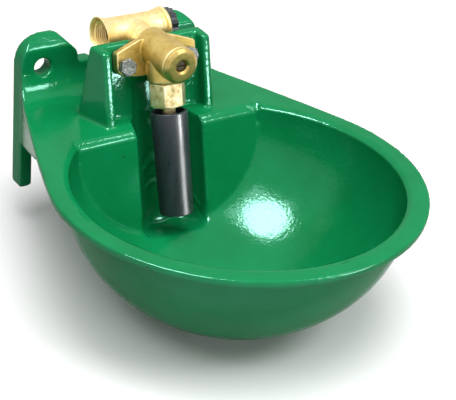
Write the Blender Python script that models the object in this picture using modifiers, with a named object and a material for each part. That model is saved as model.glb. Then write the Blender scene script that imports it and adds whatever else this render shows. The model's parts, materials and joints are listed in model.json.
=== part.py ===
"""Automatic drinking bowl: an enamelled iron bowl on a wall bracket, with a brass tube valve.

Metres, +Z up, front towards -Y. The origin is on the wall, midway between the two ear holes.
Heights inside the bowl are measured from the rim's top face, which is the datum of the casting.
"""

import math

import bmesh
import bpy
from mathutils import Matrix, Vector

# Clearance
SEAT_GAP = 0.0003      # between faces that rest on each other

# Bowl shell, a half ellipsoid closed by a flat, leaning back wall
BOWL_RADIUS = 0.126
BOWL_DEPTH = 0.109
BOWL_WALL = 0.0055
BOWL_CENTRE_Y = -0.204      # from the wall
LIP_RADIUS = 0.004
BACK_WALL_Y = -0.108        # at the height of the rim
LEAN_DEG = 13.0             # lean of back wall and tower face

# Rim flange, seen from above
RIM_DROP = 0.022            # rim top below the ear holes
RIM_WIDTH = 0.017           # outside the bowl's mouth
RIM_THICKNESS = 0.0065
FLARE_START_Y = -0.014      # where the flange leaves the bracket's width
FLARE_REACH = 0.0514        # how far the flared side runs straight on from the round front
FLARE_STEPS = 8
FLARE_END_DEG = 17.0        # where the flared side runs into the round front

# Bracket with two ears, rails and legs
BRACKET_WIDTH = 0.167
EAR_TOP = 0.047
EAR_DEPTH = 0.0147
EAR_STRIP_DEPTH = 0.0052
EAR_CHAMFER_HEIGHT = 0.009
EAR_CORNER_RADIUS = 0.022
EAR_INNER_X = 0.032
EAR_HOLE_X = 0.064
EAR_HOLE_DIAMETER = 0.0150
EAR_BOSS_DIAMETER = 0.030
PLATE_THICKNESS = 0.009
SADDLE_TOP = 0.0213
SADDLE_NOTCH_RADIUS = 0.011
SADDLE_NOTCH_FLOOR = 0.0007  # above the rim's top
RAIL_WIDTH = 0.011
LEG_BOTTOM = -0.086
LEG_CORNER = 0.0035
BRACKET_FILLET = 0.022
SKIRT_HEIGHT = 0.044
SKIRT_THICKNESS = 0.006
SKIRT_INSET = 0.0003
SKIRT_START_Y = -0.0135
SKIRT_END_Y = -0.108

# Valve tower with two posts
TOWER_TOP = 0.0585
TOWER_BACK_Y = -0.063
TOWER_HALF_TOP = 0.0505
TOWER_HALF_FOOT = 0.060
POST_HALF_OUTER = 0.0492
POST_WIDTH = 0.0072
POST_FACE_SETBACK = 0.0114  # from the leaning wall plane, square to it
TOWER_EDGE = 0.0016
PANEL_THICKNESS = 0.007
PANEL_NOTCH_CLEARANCE = 0.0013

# Niche behind the tube
NICHE_RADIUS = 0.030
NICHE_TOP = 0.036
NICHE_FLOOR = -0.089
NICHE_END_RADIUS = 0.010
NICHE_WALL = 0.006
NICHE_STEPS = 48

# Valve body
BARREL_Z = 0.0543           # also the height of the through pipe
BARREL_RADIUS = 0.0145
BARREL_FRONT_Y = -0.1145
BARREL_BACK_Y = -0.0700
BARREL_BORE = 0.0100
BARREL_BORE_END_Y = -0.084
PORT_RADIUS = 0.0040
PLATE_HALF_WIDTH = 0.0362
VALVE_FLANGE_THICKNESS = 0.007
VALVE_FLANGE_SETBACK = 0.0024   # behind the posts' faces
VALVE_FLANGE_LOBE = 0.0080      # radius round each bolt
VALVE_FLANGE_DROP = 0.0100      # below the bolts
VALVE_FLANGE_SHOULDER = 0.0120  # above the bolts, at the ears
VALVE_FLANGE_RISE = 0.0195      # above the bolts, in the middle
GASKET_THICKNESS = 0.0015
OUTLET_RADIUS = 0.0148
OUTLET_SHOULDER = 0.0130    # above the tube's pivot, along the leaning axis
SPIGOT_RADIUS = 0.0107
SPIGOT_END = 0.0046
CHAMBER_RADIUS = 0.0091
SEAT_STEP = 0.0095
SPRING_BORE = 0.0065
SPRING_BORE_END = 0.0215
OUTLET_PORT_RADIUS = 0.0030

# Through pipe
TEE_Y = -0.0425
TEE_HALF_LENGTH = 0.0297
TEE_RADIUS = 0.0134
TEE_BEAD_RADIUS = 0.0155
TEE_BEAD_WIDTH = 0.0036
TEE_BORE = 0.0121
BRANCH_RADIUS = 0.0112
BRANCH_BORE = 0.0060
SOCKET_RADIUS = 0.0092
SOCKET_DEPTH = 0.0090

# Nose plug and flow control
PLUG_RADIUS = 0.0147
PLUG_FACE_RADIUS = 0.0118
PLUG_RIM_DEPTH = 0.0022
PLUG_DEPTH = 0.0048
PLUG_SPIGOT_END_Y = -0.1010
PLUG_HOLE = 0.0046
PLUG_WEB_FRONT_Y = -0.1128
PLUG_WEB_BACK_Y = -0.1105
NOSE_COUNTERBORE = 0.0125
NOSE_COUNTERBORE_DEPTH = 0.0026
NEEDLE_RADIUS = 0.0050
NEEDLE_FRONT_Y = -0.1095
NEEDLE_TIP_Y = -0.0862
NEEDLE_TIP_RADIUS = 0.0020
SCREW_HEAD_RADIUS = 0.0040
SCREW_HEAD_LENGTH = 0.0036
SCREW_SHANK_RADIUS = 0.0026
SCREW_END_Y = -0.1000
SCREW_SLOT = 0.0012

# Union nut, rocker and tube
TUBE_LEAN_DEG = 15.0        # the outlet's axis leans a little more than the tower
TUBE_TOP_DROP = 0.0110      # below the pivot
NUT_FLATS = 0.0258
NUT_BOTTOM = -0.0065
NUT_FLOOR = 0.0025
NUT_HOLE = 0.0070
NUT_TURN_DEG = 19.0
PIVOT_RING_TOP = 0.0032
PIVOT_RING_BORE = 0.0091
ROCKER_RADIUS = 0.0085
ROCKER_THICKNESS = 0.0040
TRUNNION_RADIUS = 0.0015
ROCKER_SLOT = (0.0072, 0.0056)
TONGUE = (0.0048, 0.0046)
TONGUE_TOP = 0.0015
ROCKER_PIN_RADIUS = 0.0010
NECK_RADIUS = 0.0055
NECK_TOP = -0.0042
TUBE_RADIUS = 0.0149
TUBE_END_RADIUS = 0.0138    # the tube tapers towards its lower end
TUBE_BORE = 0.0121
TUBE_LENGTH = 0.0840
HUB_HEIGHT = 0.0080
HUB_DROP = 0.0045           # hub top below the tube's top
HUB_RIM = 0.0014
HUB_CORE = 0.0066
HUB_SPOKE = 0.0030
STUD_RADIUS = 0.0040
HUB_NUT_HEIGHT = 0.0050
STUD_OVERHANG = 0.0015

# Plunger
SEAT_RADIUS = 0.0088
SEAT_HEIGHT = 0.0034
SEAT_BORE = 0.0035
SEAT_SKIRT_BORE = 0.0076
SEAT_COLLAR = 0.0104
PLUNGER_STEM = 0.0020
PLUNGER_HEAD = 0.0055
HEAD_THICKNESS = 0.0020
FOOT_RADIUS = 0.0060
FOOT_THICKNESS = 0.0020
SEAL_THICKNESS = 0.0020
PILOT_LENGTH = 0.0030
SPRING_RADIUS = 0.0040
SPRING_WIRE = 0.00035       # half the wire's thickness
SPRING_TURNS = 4

# M8 fasteners
BOLT_X = 0.0286
BOLT_HEIGHT = 0.0275        # above the pivot, along the leaning axis
BOLT_RADIUS = 0.0040
BOLT_HOLE = 0.0045
HEX_FLATS = 0.0130
BOLT_HEAD = 0.0053
WASHER_RADIUS = 0.0080
WASHER_THICKNESS = 0.0012
NUT_HEIGHT = 0.0055
SPOT_FACE_RADIUS = 0.0098

# End plug of the through pipe
END_PLUG_HEAD_RADIUS = 0.0138
END_PLUG_HEAD = 0.0070
END_PLUG_RIBS = 12
END_PLUG_RIB = 0.0012
END_PLUG_BODY = 0.0130

RIM_RADIUS = BOWL_RADIUS + RIM_WIDTH
LEAN = math.radians(LEAN_DEG)
TUBE_LEAN = math.radians(TUBE_LEAN_DEG)
PIVOT_Z = 0.0212            # tube pivot above the rim
PIVOT_Y = -0.1017


def clear_scene():
    for obj in list(bpy.data.objects):
        bpy.data.objects.remove(obj, do_unlink=True)


def collection(name):
    made = bpy.data.collections.new(name)
    bpy.context.scene.collection.children.link(made)
    return made


def material(name, colour, roughness, metallic=0.0):
    made = bpy.data.materials.new(name)
    made.use_nodes = True
    shader = made.node_tree.nodes["Principled BSDF"]
    shader.inputs["Base Color"].default_value = (*colour, 1.0)
    shader.inputs["Roughness"].default_value = roughness
    shader.inputs["Metallic"].default_value = metallic
    return made


def empty(name, parent=None, location=(0, 0, 0), rotation=(0, 0, 0)):
    made = bpy.data.objects.new(name, None)
    made.location = location
    made.rotation_euler = rotation
    made.parent = parent
    PARTS.objects.link(made)
    return made


def place(mesh, name, parent, finish=None, location=(0, 0, 0), rotation=(0, 0, 0)):
    """A piece of the bowl, or a cutter where no finish is given."""
    made = bpy.data.objects.new(name, mesh)
    made.location = location
    made.rotation_euler = rotation
    made.parent = parent
    if finish is None:
        CUTTERS.objects.link(made)
        made.hide_render = True
        made.display_type = "WIRE"
    else:
        PARTS.objects.link(made)
        mesh.materials.append(finish)
        mesh.shade_smooth()
        mesh.set_sharp_from_angle(angle=math.radians(35))
    return made


def mesh_from(bm, name):
    bmesh.ops.recalc_face_normals(bm, faces=bm.faces)
    mesh = bpy.data.meshes.new(name)
    bm.to_mesh(mesh)
    bm.free()
    return mesh


def join(target, cutter, operation):
    step = target.modifiers.new(f"{operation.lower()} {cutter.name}", "BOOLEAN")
    step.operation = operation
    step.solver = "EXACT"
    step.object = cutter


def add(target, cutter):
    join(target, cutter, "UNION")


def cut(target, cutter):
    join(target, cutter, "DIFFERENCE")


def keep(target, cutter):
    join(target, cutter, "INTERSECT")


def box_mesh(name, low, high, edge=0.0):
    bm = bmesh.new()
    bmesh.ops.create_cube(bm, size=1.0)
    size = Vector(high) - Vector(low)
    bmesh.ops.scale(bm, vec=size, verts=bm.verts)
    bmesh.ops.translate(bm, vec=(Vector(low) + Vector(high)) / 2, verts=bm.verts)
    if edge:
        bmesh.ops.bevel(bm, geom=list(bm.edges), offset=edge, segments=2, profile=0.5,
                        affect="EDGES", clamp_overlap=True)
    return mesh_from(bm, name)


def cylinder_mesh(name, radius, low, high, segments=32):
    """A cylinder along Z from low to high."""
    bm = bmesh.new()
    bmesh.ops.create_cone(bm, cap_ends=True, segments=segments, radius1=radius,
                          radius2=radius, depth=high - low)
    bmesh.ops.translate(bm, vec=(0, 0, (low + high) / 2), verts=bm.verts)
    return mesh_from(bm, name)


def hexagon_mesh(name, flats, low, high, turn_deg=0.0):
    bm = bmesh.new()
    bmesh.ops.create_cone(bm, cap_ends=True, segments=6, radius1=flats / math.sqrt(3),
                          radius2=flats / math.sqrt(3), depth=high - low)
    bmesh.ops.rotate(bm, matrix=Matrix.Rotation(math.radians(turn_deg), 3, "Z"), verts=bm.verts)
    bmesh.ops.translate(bm, vec=(0, 0, (low + high) / 2), verts=bm.verts)
    return mesh_from(bm, name)


def outline_mesh(name, points, thickness, bevel=0.0):
    """A flat outline in XY, thickened both ways along Z."""
    curve = bpy.data.curves.new(name, "CURVE")
    curve.dimensions = "2D"
    curve.fill_mode = "BOTH"
    curve.extrude = thickness / 2 - bevel
    curve.bevel_depth = bevel
    curve.bevel_resolution = 1
    curve.offset = -bevel
    spline = curve.splines.new("POLY")
    spline.points.add(len(points) - 1)
    for point, (x, y) in zip(spline.points, points):
        point.co = (x, y, 0, 1)
    spline.use_cyclic_u = True
    holder = bpy.data.objects.new(name, curve)
    bpy.context.scene.collection.objects.link(holder)
    bpy.context.view_layer.update()
    mesh = bpy.data.meshes.new_from_object(
        holder.evaluated_get(bpy.context.evaluated_depsgraph_get()))
    bpy.data.objects.remove(holder, do_unlink=True)
    bpy.data.curves.remove(curve)
    bm = bmesh.new()
    bm.from_mesh(mesh)
    bpy.data.meshes.remove(mesh)
    bmesh.ops.remove_doubles(bm, verts=bm.verts, dist=1e-6)
    return mesh_from(bm, name)


def turned(name, profile, parent, finish=None, location=(0, 0, 0), rotation=(0, 0, 0),
           closed=False, steps=32):
    """A body turned about local Z. The profile of (radius, height) runs down its outer side."""
    bm = bmesh.new()
    points = [bm.verts.new((radius, 0, height)) for radius, height in profile]
    for first, second in zip(points, points[1:]):
        bm.edges.new((first, second))
    if closed:
        bm.edges.new((points[-1], points[0]))
    mesh = bpy.data.meshes.new(name)
    bm.to_mesh(mesh)
    bm.free()
    made = place(mesh, name, parent, finish, location, rotation)
    spin = made.modifiers.new("turn", "SCREW")
    spin.steps = steps
    spin.render_steps = steps
    spin.use_merge_vertices = True
    spin.merge_threshold = 1e-5
    spin.use_smooth_shade = finish is not None
    return made


def arc(centre, radius, start_deg, end_deg, steps):
    """Points along an arc, both ends included."""
    return [
        (centre[0] + radius * math.cos(math.radians(start_deg + (end_deg - start_deg) * i / steps)),
         centre[1] + radius * math.sin(math.radians(start_deg + (end_deg - start_deg) * i / steps)))
        for i in range(steps + 1)
    ]


def mirrored(half):
    """The half outline at +X, then the same points back along -X."""
    return half + [(-x, y) for x, y in reversed(half) if abs(x) > 1e-9]


def wall_y(z, setback=0.0):
    """Y of the leaning wall plane at a height, or of a plane parallel to it and further back."""
    return BACK_WALL_Y + math.tan(LEAN) * z + setback / math.cos(LEAN)


def flare_points():
    """The flared side of the flange, from the bracket to the round front."""
    turn = math.radians(FLARE_END_DEG)
    start = Vector((BRACKET_WIDTH / 2, FLARE_START_Y))
    end = Vector((RIM_RADIUS * math.cos(turn), BOWL_CENTRE_Y + RIM_RADIUS * math.sin(turn)))
    knee = end + FLARE_REACH * Vector((-math.sin(turn), math.cos(turn)))
    steps = [i / FLARE_STEPS for i in range(FLARE_STEPS)]
    return [tuple((1 - t) ** 2 * start + 2 * t * (1 - t) * knee + t * t * end) for t in steps]


def plan_outline():
    """Rim flange and bracket seen from above: flared sides that run into the round front."""
    front = arc((0, BOWL_CENTRE_Y), RIM_RADIUS, FLARE_END_DEG, -90, 27)
    return mirrored([(BRACKET_WIDTH / 2, 0.0)] + flare_points() + front)


def side_profile():
    """Section of plate, fillet and flange in the YZ plane."""
    foot = arc((-EAR_DEPTH - BRACKET_FILLET, BRACKET_FILLET), BRACKET_FILLET, 0, -90, 8)
    far = BOWL_CENTRE_Y - RIM_RADIUS - 0.01
    return [(0, EAR_TOP), (-EAR_STRIP_DEPTH, EAR_TOP), (-EAR_DEPTH, EAR_TOP - EAR_CHAMFER_HEIGHT),
            *foot, (far, 0), (far, -RIM_THICKNESS), (0, -RIM_THICKNESS)]


def front_outline():
    """Ears, saddle and notch seen from the front, wide open below so that the flange stays."""
    half_width = BRACKET_WIDTH / 2
    wide = RIM_RADIUS + 0.02
    outer = arc((half_width - EAR_CORNER_RADIUS, EAR_TOP - EAR_CORNER_RADIUS),
                EAR_CORNER_RADIUS, 0, 90, 8)
    inner = arc((EAR_INNER_X + 0.020, EAR_TOP - 0.009), 0.009, 90, 140, 4)
    cheek = arc((EAR_INNER_X + 0.008, EAR_TOP - 0.0195), 0.008, 140, 180, 3)
    foot_radius = 0.0035
    foot = arc((EAR_INNER_X - foot_radius, SADDLE_TOP + foot_radius), foot_radius, 0, -90, 3)
    shoulder_radius = 0.010
    shoulder = arc((SADDLE_NOTCH_RADIUS + shoulder_radius, SADDLE_TOP - shoulder_radius),
                   shoulder_radius, 90, 180, 5)
    notch = arc((0, SADDLE_NOTCH_RADIUS + SADDLE_NOTCH_FLOOR), SADDLE_NOTCH_RADIUS, 0, -90, 8)
    low = -RIM_THICKNESS - 0.01
    rise = EAR_TOP - EAR_CORNER_RADIUS - 0.0005
    half = [(0, low), (wide, low), (wide, rise), (half_width + 0.001, rise)]
    return mirrored(half + outer + inner + cheek + foot + shoulder + notch)


def to_side(points, name, half_width):
    """A prism along X from an outline given as (y, z)."""
    mesh = outline_mesh(name, points, 2 * half_width)
    mesh.transform(Matrix(((0, 0, 1, 0), (1, 0, 0, 0), (0, 1, 0, 0), (0, 0, 0, 1))))
    return mesh


def to_front(points, name, low_y, high_y):
    """A prism along Y from an outline given as (x, z)."""
    mesh = outline_mesh(name, points, high_y - low_y)
    mesh.transform(Matrix.Translation((0, (low_y + high_y) / 2, 0))
                   @ Matrix.Rotation(math.radians(90), 4, "X"))
    return mesh


def upright(points, name, low_z, high_z, bevel=0.0):
    """A prism along Z from an outline given as (x, y)."""
    mesh = outline_mesh(name, points, high_z - low_z, bevel)
    mesh.transform(Matrix.Translation((0, 0, (low_z + high_z) / 2)))
    return mesh


def ellipse_profile(radius, depth, rows, lip=0.0):
    """Half ellipse from the rim down to the axis, with an optional rounded lip above it."""
    points = []
    if lip:
        points += [(0, 0.02), (radius + lip, 0.02)]
        points += [(radius + lip - lip * math.sin(math.radians(a)),
                    -lip + lip * math.cos(math.radians(a))) for a in (0, 30, 60)]
    else:
        points += [(0, -RIM_THICKNESS / 2), (radius, -RIM_THICKNESS / 2)]
    for i in range(1, rows + 1):
        angle = math.radians(90 * i / rows)
        points.append((radius * math.cos(angle) if i < rows else 0, -depth * math.sin(angle)))
    return points


def tower_mesh():
    """A block that narrows upwards, with a leaning front."""
    foot = -RIM_THICKNESS / 2
    bm = bmesh.new()
    bmesh.ops.create_cube(bm, size=2.0)
    for vert in bm.verts:
        side, back, top = vert.co
        z = TOWER_TOP if top > 0 else foot
        if back > 0:
            x = TOWER_HALF_TOP if top > 0 else TOWER_HALF_FOOT
            y = TOWER_BACK_Y
        else:
            x = POST_HALF_OUTER
            y = wall_y(z, POST_FACE_SETBACK)
        vert.co = (x * side, y, z)
    bmesh.ops.bevel(bm, geom=list(bm.edges), offset=TOWER_EDGE, segments=2, profile=0.5,
                    affect="EDGES", clamp_overlap=True)
    return mesh_from(bm, "tower block")


def leg_mesh(side):
    outer = BRACKET_WIDTH / 2
    low = (outer - RAIL_WIDTH, -EAR_DEPTH, LEG_BOTTOM)
    high = (outer, 0, EAR_TOP - EAR_CORNER_RADIUS)
    bm = bmesh.new()
    bmesh.ops.create_cube(bm, size=1.0)
    bmesh.ops.scale(bm, vec=Vector(high) - Vector(low), verts=bm.verts)
    bmesh.ops.translate(bm, vec=(Vector(low) + Vector(high)) / 2, verts=bm.verts)
    ends = [e for e in bm.edges if all(v.co.z < LEG_BOTTOM + 0.001 for v in e.verts)]
    bmesh.ops.bevel(bm, geom=ends, offset=LEG_CORNER, segments=3, profile=0.5, affect="EDGES")
    bmesh.ops.scale(bm, vec=(side, 1, 1), verts=bm.verts)
    return mesh_from(bm, "leg")


def skirt_mesh(side):
    """Upright web under the flange's flared edge, its lower edge rising towards the front."""
    path = [(BRACKET_WIDTH / 2, SKIRT_START_Y)]
    path += [point for point in flare_points() if SKIRT_END_Y < point[1] < SKIRT_START_Y]
    outer = [((x - SKIRT_INSET) * side, y) for x, y in path]
    inner = [((x - SKIRT_INSET - SKIRT_THICKNESS) * side, y) for x, y in reversed(path)]
    top = -RIM_THICKNESS / 2
    mesh = upright(outer + inner, "skirt", -SKIRT_HEIGHT, top)
    rise = (SKIRT_HEIGHT - RIM_THICKNESS) / (SKIRT_START_Y - SKIRT_END_Y)
    for vertex in mesh.vertices:
        if vertex.co.z < top - 1e-6:
            vertex.co.z = -SKIRT_HEIGHT + rise * (SKIRT_START_Y - vertex.co.y)
    return mesh


def casting(finish):
    """Bowl, rim, bracket and tower, all one iron casting."""
    body = place(to_side(side_profile(), "casting", RIM_RADIUS + 0.02), "bowl_casting", RIM, finish)
    keep(body, place(upright(plan_outline(), "plan", -RIM_THICKNESS - 0.001, EAR_TOP + 0.001),
                     "plan prism", RIM))
    keep(body, place(to_front(front_outline(), "front", BOWL_CENTRE_Y - RIM_RADIUS - 0.03, 0.01),
                     "front prism", RIM))

    half_width = BRACKET_WIDTH / 2
    pocket_depth = EAR_DEPTH - PLATE_THICKNESS
    for side in (1, -1):
        pocket_low = (EAR_INNER_X + 0.006, -pocket_depth, -RIM_THICKNESS - 0.002)
        pocket_high = (half_width - RAIL_WIDTH, 0.01, EAR_TOP - 0.012)
        pocket = box_mesh("pocket", pocket_low, pocket_high)
        pocket.transform(Matrix.Diagonal((side, 1, 1, 1)))
        if side < 0:
            pocket.flip_normals()
        cut(body, place(pocket, f"ear pocket {side}", RIM))
        boss = cylinder_mesh("boss", EAR_BOSS_DIAMETER / 2, SEAT_GAP, EAR_DEPTH - 0.001)
        add(body, place(boss, f"ear boss {side}", RIM, None, (side * EAR_HOLE_X, 0, RIM_DROP),
                        (math.radians(90), 0, 0)))
        add(body, place(leg_mesh(side), f"leg {side}", RIM))
        add(body, place(skirt_mesh(side), f"skirt {side}", RIM))

    centre = (0, BOWL_CENTRE_Y, 0)
    shell = turned("bowl outside", ellipse_profile(BOWL_RADIUS + BOWL_WALL,
                                                   BOWL_DEPTH + BOWL_WALL, 12), RIM, None, centre,
                   steps=72)
    behind = place(box_mesh("behind", (-0.2, 0, -0.3), (0.2, 0.3, 0.3)), "space behind the wall",
                   RIM, None, (0, wall_y(0, BOWL_WALL), 0), (-LEAN, 0, 0))
    cut(shell, behind)
    add(body, shell)

    niche_top = (NICHE_TOP - PIVOT_Z) / math.cos(LEAN)
    niche_floor = (NICHE_FLOOR - PIVOT_Z) / math.cos(LEAN)
    bulge_radius = NICHE_RADIUS + NICHE_WALL
    bulge_low = niche_floor - NICHE_WALL
    bulge_end = arc((bulge_radius - NICHE_END_RADIUS - NICHE_WALL,
                     bulge_low + NICHE_END_RADIUS + NICHE_WALL),
                    NICHE_END_RADIUS + NICHE_WALL, 0, -90, 5)
    bulge = turned("niche outside", [(0, -PIVOT_Z), (bulge_radius, -PIVOT_Z), *bulge_end,
                                     (0, bulge_low)], FACE, steps=NICHE_STEPS)
    front_half = place(box_mesh("front half", (-0.1, -0.2, -0.2), (0.1, -0.004, 0.1)),
                       "space before the wall", FACE)
    cut(bulge, front_half)
    add(body, bulge)

    add(body, place(tower_mesh(), "tower block", RIM))

    cavity = turned("cavity", ellipse_profile(BOWL_RADIUS, BOWL_DEPTH, 12, LIP_RADIUS), RIM, None,
                    centre, steps=72)
    back = place(box_mesh("back", (-0.2, 0, -0.3), (0.2, 0.3, 0.3)), "back of the cavity",
                 RIM, None, (0, wall_y(0), 0), (-LEAN, 0, 0))
    cut(cavity, back)
    cut(body, cavity)
    lip = box_mesh("lip", (-0.086, -LIP_RADIUS, -LIP_RADIUS), (0.086, LIP_RADIUS, LIP_RADIUS))
    cut(body, place(lip, "back lip", RIM, None, (0, wall_y(0), LIP_RADIUS / 3),
                    (math.radians(45), 0, 0)))

    niche_end = arc((NICHE_RADIUS - NICHE_END_RADIUS, niche_floor + NICHE_END_RADIUS),
                    NICHE_END_RADIUS, 0, -90, 5)
    half_step = math.pi / NICHE_STEPS   # keeps the niche's corners off the leaning wall plane
    cut(body, turned("niche", [(0, niche_top), (NICHE_RADIUS - 0.004, niche_top),
                               (NICHE_RADIUS, niche_top - 0.004), *niche_end, (0, niche_floor)],
                     FACE, None, (0, 0, 0), (0, 0, half_step), steps=NICHE_STEPS))

    recess_low = (0.004 - PIVOT_Z) / math.cos(LEAN)
    recess = box_mesh("recess", (-POST_HALF_OUTER + POST_WIDTH, -0.03, recess_low),
                      (POST_HALF_OUTER - POST_WIDTH, panel_face(), 0.08))
    cut(body, place(recess, "panel recess", FACE))

    notch_radius = BARREL_RADIUS + PANEL_NOTCH_CLEARANCE
    notch = arc((0, BARREL_Z), notch_radius, 180, 360, 12)
    notch += [(notch_radius, TOWER_TOP + 0.01), (-notch_radius, TOWER_TOP + 0.01)]
    cut(body, place(to_front(notch, "neck notch", -0.11, TOWER_BACK_Y + 0.005), "neck notch", RIM))

    panel_back = panel_face() + PANEL_THICKNESS
    for side in (1, -1):
        hole = cylinder_mesh("bolt hole", BOLT_HOLE, -0.07, 0.0, 20)
        cut(body, place(hole, f"bolt hole {side}", FACE, None,
                        (side * BOLT_X, 0, BOLT_HEIGHT), (math.radians(90), 0, 0)))
        face = cylinder_mesh("spot face", SPOT_FACE_RADIUS, -0.07, -panel_back, 24)
        cut(body, place(face, f"spot face {side}", FACE, None,
                        (side * BOLT_X, 0, BOLT_HEIGHT), (math.radians(90), 0, 0)))
        ear_hole = cylinder_mesh("ear hole", EAR_HOLE_DIAMETER / 2, -0.02, 0.04)
        cut(body, place(ear_hole, f"ear hole {side}", RIM, None,
                        (side * EAR_HOLE_X, 0, RIM_DROP), (math.radians(90), 0, 0)))
    return body


def panel_face():
    """Setback of the tower's recessed panel from the leaning wall plane."""
    return valve_flange_front() + VALVE_FLANGE_THICKNESS + GASKET_THICKNESS + 2 * SEAT_GAP


def valve_flange_front():
    return POST_FACE_SETBACK + VALVE_FLANGE_SETBACK


def valve_flange_outline(grow=0.0):
    """Two-eared flange in (x, height along the leaning axis)."""
    reach = PLATE_HALF_WIDTH + grow
    lobe = VALVE_FLANGE_LOBE + grow
    centre = (reach - lobe, BOLT_HEIGHT)
    lower = arc(centre, lobe, -75, 0, 5)
    foot = BOLT_HEIGHT - VALVE_FLANGE_DROP - grow
    shoulder = BOLT_HEIGHT + VALVE_FLANGE_SHOULDER + grow
    top = BOLT_HEIGHT + VALVE_FLANGE_RISE + grow
    half = [(0, foot - 0.0005), (BARREL_RADIUS, foot), *lower,
            (reach, shoulder - 0.002), (reach - 0.0015, shoulder),
            (BARREL_RADIUS + 0.0005, top - 0.0005), (0, top)]
    return mirrored(half)


def leaning_plate(points, name, low, high, bevel=0.0):
    """A plate parallel to the leaning wall, between two setbacks."""
    mesh = outline_mesh(name, points, high - low, bevel)
    mesh.transform(Matrix.Translation((0, (low + high) / 2, 0))
                   @ Matrix.Rotation(math.radians(90), 4, "X"))
    return mesh


def valve_body(finish):
    """Sand-cast body: leaning flange, level barrel and leaning outlet."""
    front = valve_flange_front()
    flange = leaning_plate(valve_flange_outline(), "valve flange", front,
                           front + VALVE_FLANGE_THICKNESS)
    body = place(flange, "valve_body", FACE, finish)
    front_turn = (math.radians(90), 0, 0)
    edge = 0.0012
    barrel = turned("barrel", [(0, -BARREL_FRONT_Y), (BARREL_RADIUS - edge, -BARREL_FRONT_Y),
                               (BARREL_RADIUS, -BARREL_FRONT_Y - edge),
                               (BARREL_RADIUS, -BARREL_BACK_Y + edge),
                               (BARREL_RADIUS - edge, -BARREL_BACK_Y), (0, -BARREL_BACK_Y)],
                    RIM, None, (0, 0, BARREL_Z), front_turn, steps=40)
    add(body, barrel)
    top = barrel_height() - 0.004
    outlet = turned("outlet", [(0, top), (OUTLET_RADIUS, top), (OUTLET_RADIUS, OUTLET_SHOULDER + 0.001),
                               (OUTLET_RADIUS - 0.001, OUTLET_SHOULDER),
                               (SPIGOT_RADIUS, OUTLET_SHOULDER), (SPIGOT_RADIUS, SPIGOT_END),
                               (0, SPIGOT_END)], AXIS, steps=40)
    add(body, outlet)
    beyond = -BARREL_FRONT_Y + PLUG_DEPTH
    cut(body, turned("barrel bore", [(0, beyond), (NOSE_COUNTERBORE, beyond),
                                     (NOSE_COUNTERBORE, -BARREL_FRONT_Y - NOSE_COUNTERBORE_DEPTH),
                                     (BARREL_BORE, -BARREL_FRONT_Y - NOSE_COUNTERBORE_DEPTH),
                                     (BARREL_BORE, -BARREL_BORE_END_Y),
                                     (PORT_RADIUS, -BARREL_BORE_END_Y),
                                     (PORT_RADIUS, -BARREL_BACK_Y + SOCKET_DEPTH),
                                     (SOCKET_RADIUS, -BARREL_BACK_Y + SOCKET_DEPTH),
                                     (SOCKET_RADIUS, -TEE_Y), (0, -TEE_Y)],
                     RIM, None, (0, 0, BARREL_Z), front_turn, steps=40))
    cut(body, turned("outlet bore", [(0, barrel_height()), (OUTLET_PORT_RADIUS, barrel_height()),
                                     (OUTLET_PORT_RADIUS, SPRING_BORE_END),
                                     (SPRING_BORE, SPRING_BORE_END), (SPRING_BORE, SEAT_STEP),
                                     (CHAMBER_RADIUS, SEAT_STEP), (CHAMBER_RADIUS, 0), (0, 0)],
                     AXIS, steps=40))
    for side in (1, -1):
        hole = cylinder_mesh("flange hole", BOLT_HOLE, -0.04, 0.02, 20)
        cut(body, place(hole, f"flange hole {side}", FACE, None,
                        (side * BOLT_X, 0, BOLT_HEIGHT), front_turn))
    return body


def barrel_height():
    """Where the outlet's axis meets the height of the barrel's axis, above the pivot."""
    return (BARREL_Z - PIVOT_Z) / math.cos(TUBE_LEAN)


def supply_tee(finish):
    """Turned through pipe along X, with a branch towards the valve."""
    end = TEE_HALF_LENGTH
    bead = TEE_BEAD_WIDTH
    rim = 0.0010
    outer = [(TEE_BEAD_RADIUS - rim, end), (TEE_BEAD_RADIUS, end - rim),
             (TEE_BEAD_RADIUS, end - bead + rim), (TEE_RADIUS, end - bead - rim)]
    profile = [(0, end)] + outer + [(r, -h) for r, h in reversed(outer)] + [(0, -end)]
    turn = (0, math.radians(90), 0)
    body = turned("supply_tee", profile, RIM, finish, (0, TEE_Y, BARREL_Z), turn, steps=40)
    shoulder = -BARREL_BACK_Y - SEAT_GAP
    nose = shoulder + SOCKET_DEPTH - 0.0026
    spigot = SOCKET_RADIUS - SEAT_GAP
    branch = turned("branch", [(0, nose), (spigot, nose), (spigot, shoulder),
                               (BRANCH_RADIUS, shoulder), (BRANCH_RADIUS, -TEE_Y + 0.002),
                               (0, -TEE_Y + 0.002)],
                    RIM, None, (0, 0, BARREL_Z), (math.radians(90), 0, 0), steps=32)
    add(body, branch)
    cut(body, place(cylinder_mesh("pipe bore", TEE_BORE, -0.04, 0.04, 40), "pipe bore", RIM, None,
                    (0, TEE_Y, BARREL_Z), turn))
    cut(body, place(cylinder_mesh("branch bore", BRANCH_BORE, -TEE_Y, 0.09, 32), "branch bore",
                    RIM, None, (0, 0, BARREL_Z), (math.radians(90), 0, 0)))
    return body


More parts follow.
